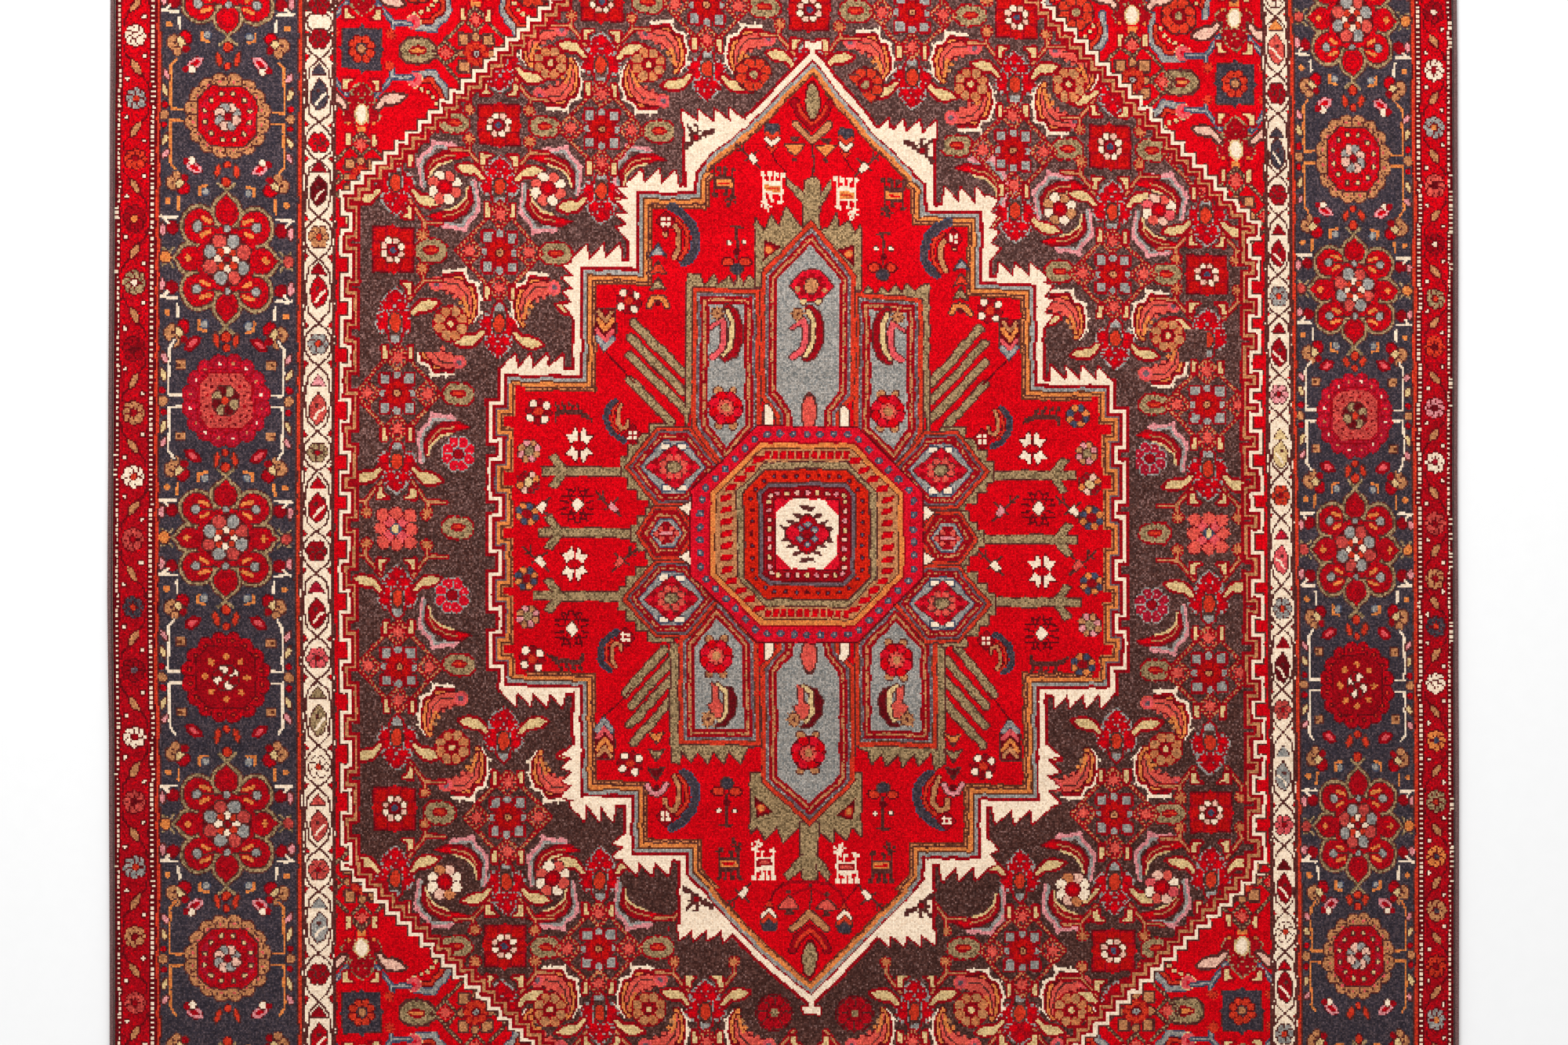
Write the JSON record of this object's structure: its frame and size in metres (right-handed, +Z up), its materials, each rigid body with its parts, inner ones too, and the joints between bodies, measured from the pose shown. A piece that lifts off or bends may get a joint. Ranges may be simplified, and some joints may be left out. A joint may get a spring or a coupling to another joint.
{
  "type": "persian rug",
  "caption": "Flat rectangular hand-knotted wool rug with a stepped central medallion, bordered field and bound side edges.",
  "frame": {"origin": "on the floor under the middle of the rug", "axes": "+Z up from the underside to the pile, Y along the length, X across the width"},
  "size_m": [2.0046, 3, 0.0105],
  "materials": {
    "pile_wool": "clipped hand-knotted wool pile, matt",
    "binding_wool": "wool yarn wrapped closely round the side cords, matt"
  },
  "bodies": {
    "root": {"rug_cloth": "pile_wool", "selvedge_left": "binding_wool", "selvedge_right": "binding_wool"}
  },
  "joints": []
}
